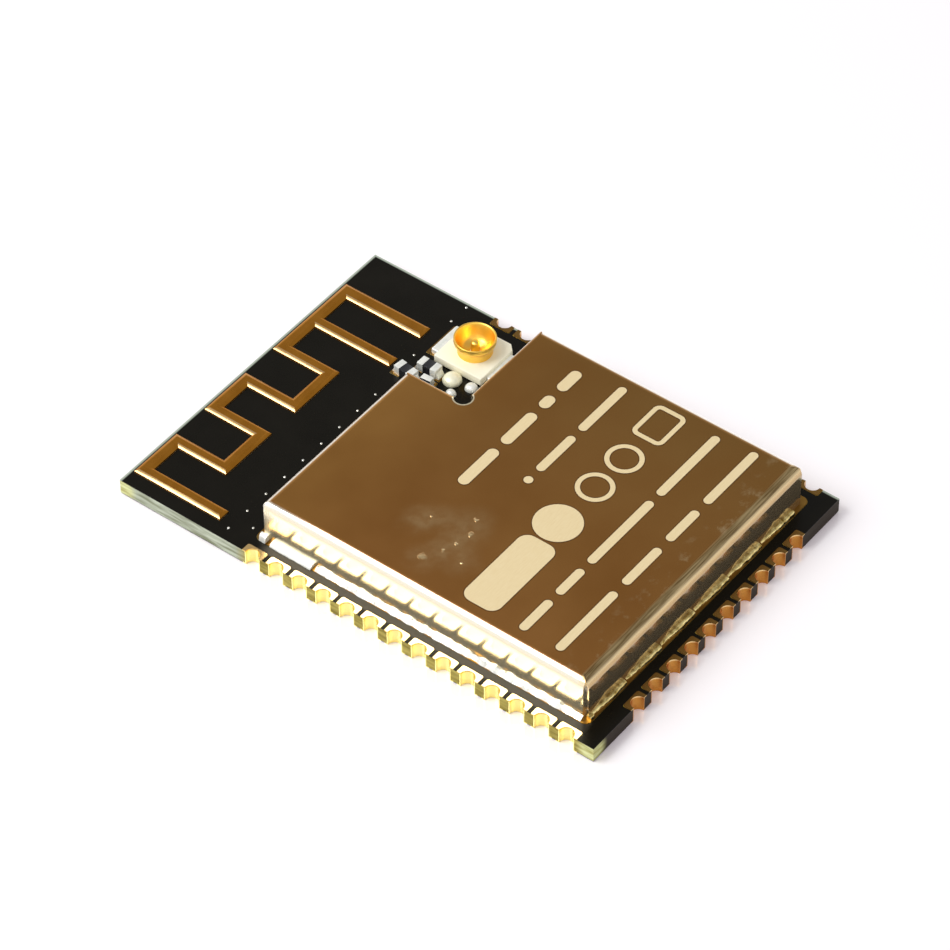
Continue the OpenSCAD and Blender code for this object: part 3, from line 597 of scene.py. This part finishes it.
def applied(piece, kind, **settings):  # add a modifier and apply it
    if bpy.context.mode != "OBJECT":
        bpy.ops.object.mode_set(mode="OBJECT")
    only(piece)
    modifier = piece.modifiers.new(kind.lower(), kind)
    for name, value in settings.items():
        setattr(modifier, name, value)
    bpy.ops.object.modifier_apply(modifier=modifier.name)


def softened(piece, width, steps, angle):  # round every edge that is sharper than an angle in degrees
    applied(piece, "BEVEL", width=width, segments=steps, limit_method="ANGLE",
            angle_limit=math.radians(angle))


def joined(pieces):  # several pieces as one object
    only(pieces[0])
    for piece in pieces:
        piece.select_set(True)
    bpy.ops.object.join()
    return bpy.context.object


def copied(piece, turn=0, move=(0, 0, 0)):  # a copy with its own mesh, turned about the origin and moved
    only(piece)
    bpy.ops.object.duplicate()
    twin = bpy.context.object
    twin.rotation_euler.z = turn
    twin.location = move
    bpy.ops.object.transform_apply(location=True, rotation=True, scale=True)
    return twin


def settle(piece, name, replaced=(), sharpAngle=38):  # shrink to metres, smooth, and give to the frame
    only(piece)
    piece.scale = (mm, mm, mm)
    bpy.ops.object.transform_apply(location=True, rotation=True, scale=True)
    bpy.ops.object.shade_smooth_by_angle(angle=math.radians(sharpAngle))
    piece.name = piece.data.name = name
    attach(piece, "root")
    if replaced:
        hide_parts(*replaced)
    print("made", name, "with", len(piece.data.polygons), "faces")


# shield can: one blank, its flaps spun down over the bend radius, then given its sheet thickness


def foldedCan():
    r, n, top, steps = can["bend"], can["notchBend"], plateTop, can["bendSteps"]
    piece = flat((canLo.x + r, canLo.y + r), (canHi.x - r, canHi.y - r), top, sheet)
    scored((notch.x - n, 0, 0), (1, 0, 0))
    scored((0, notch.y - n, 0), (0, 1, 0))
    pick(piece, "faces", lambda p, f: p.x > notch.x - n and p.y > notch.y - n)
    bpy.ops.mesh.delete(type="FACE")
    # each flap: axis across it, its outer plane, which way is out, its bend, and its two ends as the corner's
    # place, the next flap's bend and 1 for an outer corner or -1 for the inner one
    flaps = [(0, canLo.x, -1, r, (canLo.y, r, 1), (canHi.y, r, 1)),
             (1, canLo.y, -1, r, (canLo.x, r, 1), (canHi.x, r, 1)),
             (0, canHi.x, 1, r, (canLo.y, r, 1), (notch.y, n, 1)),
             (1, notch.y, 1, n, (notch.x, n, -1), (canHi.x, r, 1)),
             (0, notch.x, 1, n, (notch.y, n, -1), (canHi.y, r, 1)),
             (1, canHi.y, 1, r, (canLo.x, r, 1), (notch.x, n, 1))]
    for across, plane, out, bend, start, end in flaps:
        along = 1 - across
        edge = plane - out * bend
        pick(piece, "edges", lambda p, e: abs(p[across] - edge) < same and abs(p.z - top) < same
             and start[0] - n < p[along] < end[0]
             and abs(e.verts[0].co[across] - e.verts[1].co[across]) < same)
        centre, axis = Vector((0, 0, top - bend)), Vector()
        centre[across] = edge
        axis[along] = -out if across == 0 else out
        bpy.ops.mesh.spin(steps=steps, angle=math.pi / 2, center=centre, axis=axis)
        pulled(0, 0, canLo.z - top + bend)
        # open the corners: a slit between the walls, a mitre through the bend
        for (corner, nextBend, outer), inward in ((start, 1), (end, -1)):
            for step in range(1, steps + 1):
                tilt = math.pi / 2 * step / steps
                depth = bend * (1 - math.sin(tilt))
                wanted = min(nextBend, max(can["slit"], depth + can["mitre"])) if outer == 1 else depth
                drop = top - bend * (1 - math.cos(tilt))
                low = -math.inf if step == steps else drop - same  # the last step moves the whole wall
                lateral = edge + out * bend * math.sin(tilt)
                plateEnd = corner + outer * inward * nextBend
                pick(piece, "verts", lambda p, v: abs(p[along] - plateEnd) < same
                     and abs(p[across] - lateral) < same and low < p.z < drop + same)
                shift = Vector()
                shift[along] = corner + outer * inward * wanted - plateEnd
                bpy.ops.transform.translate(value=shift)
    closedUp()
    if max(piece.data.polygons, key=lambda f: f.area).normal.z < 0:
        piece.data.flip_normals()
    applied(piece, "SOLIDIFY", thickness=can["sheet"], offset=-1, use_even_offset=True)
    bpy.ops.object.select_all(action="DESELECT")
    drillAt = (reliefAt.x, reliefAt.y, plateTop - can["drillDrop"])
    bpy.ops.mesh.primitive_cylinder_add(vertices=can["drillSteps"], radius=can["relief"],
                                        depth=can["drillLong"], location=drillAt)
    drill = bpy.context.object
    applied(piece, "BOOLEAN", operation="DIFFERENCE", solver="EXACT", object=drill)
    bpy.data.objects.remove(drill)
    softened(piece, can["edgeRound"], can["edgeSteps"], can["edgeAngle"])
    settle(piece, "foldedShieldCan", ["shield_can"])
    applied(piece, "WEIGHTED_NORMAL", keep_sharp=True)  # flat walls mirror as flat walls


foldedCan()

# etched marks on the can, each with a burnt rim: rows of plain bars as (y, height, spans in x), and a row of
# simple shapes as (x0, x1, y, height, corner, hollow)
marks = {"rim": 0.04, "deep": 0.006, "stroke": 0.3, "arcSteps": 10, "arcShare": 0.998, "weld": 0.01,
         "bars": [(-0.45, 0.62, [(-1.9, 0.7), (1.1, 3.4), (3.8, 4.7), (5.1, 6.6)]),
                  (-2.6, 0.5, [(-0.2, 0.3), (0.7, 3.3), (3.7, 7.0)]),
                  (-7.5, 0.5, [(-7.0, -4.9), (-4.5, -2.7), (-2.3, 2.2), (2.6, 7.0)]),
                  (-9.35, 0.5, [(-7.0, -2.9), (-2.4, 0.2), (0.7, 2.9), (3.4, 7.2)])],
         "shapes": [(-7.0, -2.4, -5.2, 1.9, 0.55, False), (-2.35, -0.09, -5.1, 2.26, 1.13, False),
                    (0.5, 2.3, -5.1, 1.8, 0.9, True), (2.6, 4.4, -5.1, 1.8, 0.9, True),
                    (4.9, 7.1, -5.1, 1.7, 0.4, True)]}


def etchedPlate(x0, x1, y, high, corner, hollow):
    piece = flat((x0, y - high / 2), (x1, y + high / 2), canHi.z, etchedFill)
    bpy.ops.mesh.select_all(action="SELECT")
    bpy.ops.mesh.bevel(offset=corner * marks["arcShare"], segments=marks["arcSteps"], affect="VERTICES")
    bpy.ops.mesh.select_all(action="SELECT")
    bpy.ops.mesh.remove_doubles(threshold=marks["weld"])
    bpy.ops.mesh.select_mode(type="FACE")
    bpy.ops.mesh.select_all(action="SELECT")
    if hollow:
        bpy.ops.mesh.inset(thickness=marks["stroke"])
        bpy.ops.mesh.delete(type="FACE")
        bpy.ops.mesh.select_all(action="SELECT")
    bpy.ops.mesh.inset(thickness=marks["rim"])
    bpy.ops.mesh.select_all(action="INVERT")
    paint(piece, etchedRim)
    bpy.ops.mesh.select_all(action="SELECT")
    pulled(0, 0, -marks["deep"])
    closedUp()
    return piece


plates = [etchedPlate(*span, y, high, high / 2, False) for y, high, spans in marks["bars"] for span in spans]
plates += [etchedPlate(*shape) for shape in marks["shapes"]]
settle(joined(plates), "etchedMarks")

# printed antenna: the meander cut from one sheet, then raised with sloped etched edges
antenna = {"wide": 0.6, "feedWide": 0.74, "legs": (-8.11, -5.89, -3.39, -1.17, 1.33, 3.55), "feed": 5.77,
           "top": 12.4, "run": 9.14, "foot": 7.66, "rise": 0.088, "slopeWide": 0.15, "slopeHigh": 0.095,
           "crownWide": 0.03, "crownHigh": 0.006, "flatRim": 0.01, "slopeTilt": 0.3, "flatAngle": 1}


def onTrace(p):  # whether a point of the sheet belongs to the meander
    legs, wide, top, run = antenna["legs"], antenna["wide"], antenna["top"], antenna["run"]
    feed0, feed1 = antenna["feed"], antenna["feed"] + antenna["feedWide"]
    upright = [(x, x + wide, antenna["foot"] if x in (legs[0], legs[-1]) else run, top) for x in legs]
    upright.append((feed0, feed1, antenna["foot"], top))
    level = [(legs[a], legs[a + 1] + wide, top - wide, top) for a in (0, 2)]
    level.append((legs[4], feed1, top - wide, top))
    level += [(legs[a], legs[a + 1] + wide, run, run + wide) for a in (1, 3)]
    return any(x0 < p.x < x1 and y0 < p.y < y1 for x0, x1, y0, y1 in upright + level)


def meander():
    traceLo, traceHi = boxMm("antenna_trace")
    piece = flat(traceLo, traceHi, traceLo.z, traceGold)
    for x in [x + d for x in antenna["legs"] for d in (0, antenna["wide"])] + [antenna["feed"]]:
        scored((x, 0, 0), (1, 0, 0))
    for y in (antenna["run"], antenna["run"] + antenna["wide"], antenna["top"] - antenna["wide"]):
        scored((0, y, 0), (0, 1, 0))
    pick(piece, "faces", lambda p, f: not onTrace(p))
    bpy.ops.mesh.delete(type="FACE")
    bpy.ops.mesh.select_all(action="SELECT")
    bpy.ops.mesh.dissolve_limited(angle_limit=math.radians(antenna["flatAngle"]))
    bpy.ops.mesh.select_mode(type="FACE")
    bpy.ops.mesh.select_all(action="SELECT")
    pulled(0, 0, antenna["rise"])
    bpy.ops.mesh.inset(thickness=antenna["slopeWide"], depth=antenna["slopeHigh"])
    bpy.ops.mesh.inset(thickness=antenna["crownWide"], depth=antenna["crownHigh"])
    bpy.ops.mesh.inset(thickness=antenna["flatRim"])
    tilt = antenna["slopeTilt"]
    pick(piece, "faces", lambda p, f: f.normal.x < -tilt and f.normal.z > tilt)  # the slopes that face the lamp, painted paler as a highlight
    paint(piece, slopeGold)
    closedUp()
    settle(piece, "printedAntenna", ["antenna_trace"])


meander()

# tinned via tops behind the can: one low dome, copied
vias = {"row": [(-8.23 + 1.26 * i, 7.08) for i in range(9)],
        "others": [(-7.6, 6.24), (4.8, 7.24), (7.49, 7.24), (8.58, 7.24)],
        "dome": [(0.06, 0.785), (0.053, 0.803), (0.035, 0.817), (0.012, 0.822)], "domeSteps": 16}
dome = turned((0, 0), vias["dome"], solder, vias["domeSteps"], closed=False)
domes = [copied(dome, move=(x, y, 0)) for x, y in vias["row"] + vias["others"]]
bpy.data.objects.remove(dome)
settle(joined(domes), "tinnedViaTops", sharpAngle=60)

# can solder: each section is (width, height, lean of its face, waviness), and a hidden run is its length, its
# quarter turns and where it starts
joint = {"bead": (0.33, 0.18, 0.28, 0.22), "pale": (0.34, 0.16, 0.1, 0.07), "block": (0.24, 0.22, 0.05, 0.08),
         "hidden": (0.22, 0.2, 0.1, 0.06), "nub": (0.3, 0.32, 0.12, 0.1), "step": 0.06, "waveLong": 0.45,
         "foot": 0.8, "sunk": 0.1, "behind": 0.12, "roundShare": 0.6, "roundSteps": 4, "fewestCuts": 4,
         "beadSpan": (-11.3, 2.62), "paleSpan": (2.78, 5.0), "nubSpan": (5.25, 5.6),
         "blockLong": 1.0, "firstBlock": -6.2, "period": 2.42, "blocks": 6,
         "cornerLong": 0.25, "cornerIn": 0.05, "tip": 1.25, "tipShape": (1, 0.3, 0.35), "tipHigh": 0.02,
         "hiddenRuns": [(12.6, 1, (canHi.x, -10.9)), (8.6, 2, (1.6, canHi.y)),
                        (1.7, 1, (notch.x, 3.4)), (3.9, 2, (7.2, notch.y))]}
waves = bpy.data.textures.new("solderWaves", "CLOUDS")
waves.noise_scale = joint["waveLong"]


def solderRun(long, section, finish, turn, spot, tip=0):  # along +X with a wall behind it at Y = 0, then laid
    wide, high, lean, wave = joint[section]

    def lengthwise(edge):
        return abs(edge.verts[0].co.x - edge.verts[1].co.x) > long / 2

    piece = block((0, -wide, -joint["sunk"]), (long, joint["behind"], high), finish)
    pick(piece, "edges", lambda p, e: abs(p.y + wide) < same and abs(p.z - high) < same)
    bpy.ops.transform.translate(value=(0, lean, 0))
    if tip:  # drawn out to a spear point along the wall
        pick(piece, "faces", lambda p, f: abs(p.x) < same)
        pulled(-tip, 0, 0)
        bpy.ops.transform.resize(value=joint["tipShape"], center_override=(-tip, 0, joint["tipHigh"]))
    pick(piece, "edges", lambda p, e: p.y < 0 < p.z and lengthwise(e))
    rounding = (wide - lean) * joint["roundShare"]
    bpy.ops.mesh.bevel(offset=rounding, segments=joint["roundSteps"], affect="EDGES")
    pick(piece, "edges", lambda p, e: lengthwise(e))
    bpy.ops.mesh.subdivide(number_cuts=max(joint["fewestCuts"], int(long / joint["step"])))
    closedUp()
    piece.rotation_euler.z = turn
    piece.location = (*spot, joint["foot"])
    only(piece)
    bpy.ops.object.transform_apply(location=True, rotation=True, scale=True)
    applied(piece, "DISPLACE", texture=waves, texture_coords="LOCAL", strength=wave, mid_level=0.5,
            direction="NORMAL")
    trimmed(piece, (0, 0, joint["foot"]), (0, 0, -1))
    trimmed(piece, (*spot, 0), (-math.sin(turn), math.cos(turn), 0))
    return piece


def canSolder():
    quarter = math.pi / 2
    runs = []
    for section, finish in (("bead", solder), ("pale", frostedTin), ("nub", frostedTin)):
        start, end = joint[section + "Span"]
        runs.append(solderRun(end - start, section, finish, -quarter, (canLo.x, end)))
    for i in range(joint["blocks"]):
        spot = (joint["firstBlock"] + joint["period"] * i, canLo.y)
        runs.append(solderRun(joint["blockLong"], "block", endSolder, 0, spot, joint["tip"]))
    runs.append(solderRun(joint["cornerLong"], "block", endSolder, 0, (canLo.x + joint["cornerIn"], canLo.y)))
    for long, turns, spot in joint["hiddenRuns"]:
        runs.append(solderRun(long, "hidden", solder, turns * quarter, spot))
    settle(joined(runs), "canSolder", ["shield_solder"], sharpAngle=60)


canSolder()

# coaxial socket: cream base with tinned tails, and a flared gold cup round a centre pin; profiles are
# (radius, height), and a blob of solder is (x0, y0, x1, y1, height)
socket = {"axis": (6.30, 5.00), "half": 1.3, "top": 1.22, "foot": 0.8, "cornerCut": 0.3, "edge": 0.05,
          "edgeSteps": 3, "edgeAngle": 60, "cupSteps": 64, "pinSteps": 32, "tailSteps": 3,
          "cup": [(0.8, 1.22), (0.78, 1.4), (0.78, 1.5), (0.82, 1.62), (0.9, 1.74), (0.95, 1.8), (0.96, 1.86),
                  (0.96, 2.02), (0.95, 2.05), (0.93, 2.06), (0.9, 2.05), (0.87, 2.0), (0.8, 1.78),
                  (0.72, 1.58), (0.62, 1.42), (0.5, 1.32), (0.28, 1.27), (0.22, 1.22), (0.8, 1.22)],
          "pin": [(0.2, 1.22), (0.2, 1.68), (0.17, 1.75), (0.1, 1.79), (0.03, 1.8)],
          "tailWide": 1.84, "tailOut": 0.44, "tailHigh": 0.26, "tailUnder": 0.1, "tailRound": 0.06,
          "blobs": [(4.0, 4.4, 5.05, 5.42, 0.42), (3.55, 4.15, 4.1, 4.75, 0.3), (4.3, 3.62, 5.0, 4.3, 0.3)],
          "blobSunk": 0.3, "blobLevels": 3}


def socketBase():
    x, y = socket["axis"]
    half = socket["half"]
    piece = block((x - half, y - half, socket["foot"]), (x + half, y + half, socket["top"]), creamMoulding)
    pick(piece, "edges", lambda p, e: abs(p.x - x - half) < same and abs(abs(p.y - y) - half) < same)
    bpy.ops.mesh.bevel(offset=socket["cornerCut"], segments=1, affect="EDGES")
    closedUp()
    softened(piece, socket["edge"], socket["edgeSteps"], socket["edgeAngle"])
    settle(piece, "socketBase", ["connector_base"])


def socketShell():
    cup = turned(socket["axis"], socket["cup"], socketGold, socket["cupSteps"])
    settle(cup, "socketCup", ["connector_shell"], sharpAngle=50)


def socketPin():
    pin = turned(socket["axis"], socket["pin"], socketGold, socket["pinSteps"], closed=False)
    settle(pin, "socketPin", ["connector_pin"], sharpAngle=60)


def socketTails():  # two tinned ground tails and the solder over the signal tail
    x, y = socket["axis"]
    wide, half, foot = socket["tailWide"] / 2, socket["half"], socket["foot"]
    tails = []
    for side in (1, -1):
        y0, y1 = sorted((y + side * (half - socket["tailUnder"]), y + side * (half + socket["tailOut"])))
        tail = block((x - wide, y0, foot), (x + wide, y1, foot + socket["tailHigh"]), frostedTin)
        pick(tail, "edges", lambda p, e: p.z > foot + same)
        bpy.ops.mesh.bevel(offset=socket["tailRound"], segments=socket["tailSteps"], affect="EDGES")
        closedUp()
        tails.append(tail)
    for finish, (x0, y0, x1, y1, high) in zip((creamTin, frostedTin, frostedTin), socket["blobs"]):
        blob = block((x0, y0, foot - socket["blobSunk"]), (x1, y1, foot + high), finish)
        applied(blob, "SUBSURF", levels=socket["blobLevels"], render_levels=socket["blobLevels"])
        trimmed(blob, (0, 0, foot), (0, 0, -1))
        tails.append(blob)
    settle(joined(tails), "socketSolder", ["connector_solder"], sharpAngle=60)


socketBase()
socketShell()
socketPin()
socketTails()

# matching parts beside the socket: one chip with fired ends and solder fillets, copied to each (x, y, turn)
chips = {"long": 1.0, "wide": 0.5, "high": 0.46, "end": 0.3, "foot": 0.8, "cap": 0.015, "edge": 0.035,
         "edgeSteps": 3, "edgeAngle": 50, "fillet": 0.16, "filletWide": 0.9, "filletHigh": 0.7,
         "filletDrop": 0.6, "filletEdge": 0.03, "filletAngle": 30,
         "places": [(4.4, 6.06, 90), (3.58, 6.72, 82), (3.3, 5.6, 4)]}


def chip():
    long, wide, high, foot = chips["long"] / 2, chips["wide"] / 2, chips["high"], chips["foot"]
    piece = block((-long, -wide, foot), (long, wide, foot + high), glazedBlack)
    for x in (long - chips["end"], chips["end"] - long):
        scored((x, 0, 0), (1, 0, 0))
    pick(piece, "faces", lambda p, f: abs(p.x) > long - chips["end"])
    bpy.ops.mesh.extrude_region_shrink_fatten(TRANSFORM_OT_shrink_fatten={"value": chips["cap"]})
    paint(piece, frostedTin)
    closedUp()
    softened(piece, chips["edge"], chips["edgeSteps"], chips["edgeAngle"])
    parts = [piece]
    across, up = wide * chips["filletWide"], high * chips["filletHigh"]
    for side in (1, -1):
        x0, x1 = sorted((side * long, side * (long + chips["fillet"])))
        fillet = block((x0, -across, foot), (x1, across, foot + up), frostedTin)
        pick(fillet, "verts", lambda p, v: abs(p.x) > long + same and p.z > foot + same)
        bpy.ops.transform.translate(value=(0, 0, -high * chips["filletDrop"]))
        closedUp()
        softened(fillet, chips["filletEdge"], chips["edgeSteps"], chips["filletAngle"])
        parts.append(fillet)
    return joined(parts)


def chipRow():
    first = chip()
    row = [copied(first, math.radians(turn), (x, y, 0)) for x, y, turn in chips["places"]]
    bpy.data.objects.remove(first)
    settle(joined(row), "matchingChips", ["matching_chip_bodies", "matching_chip_ends"])


chipRow()
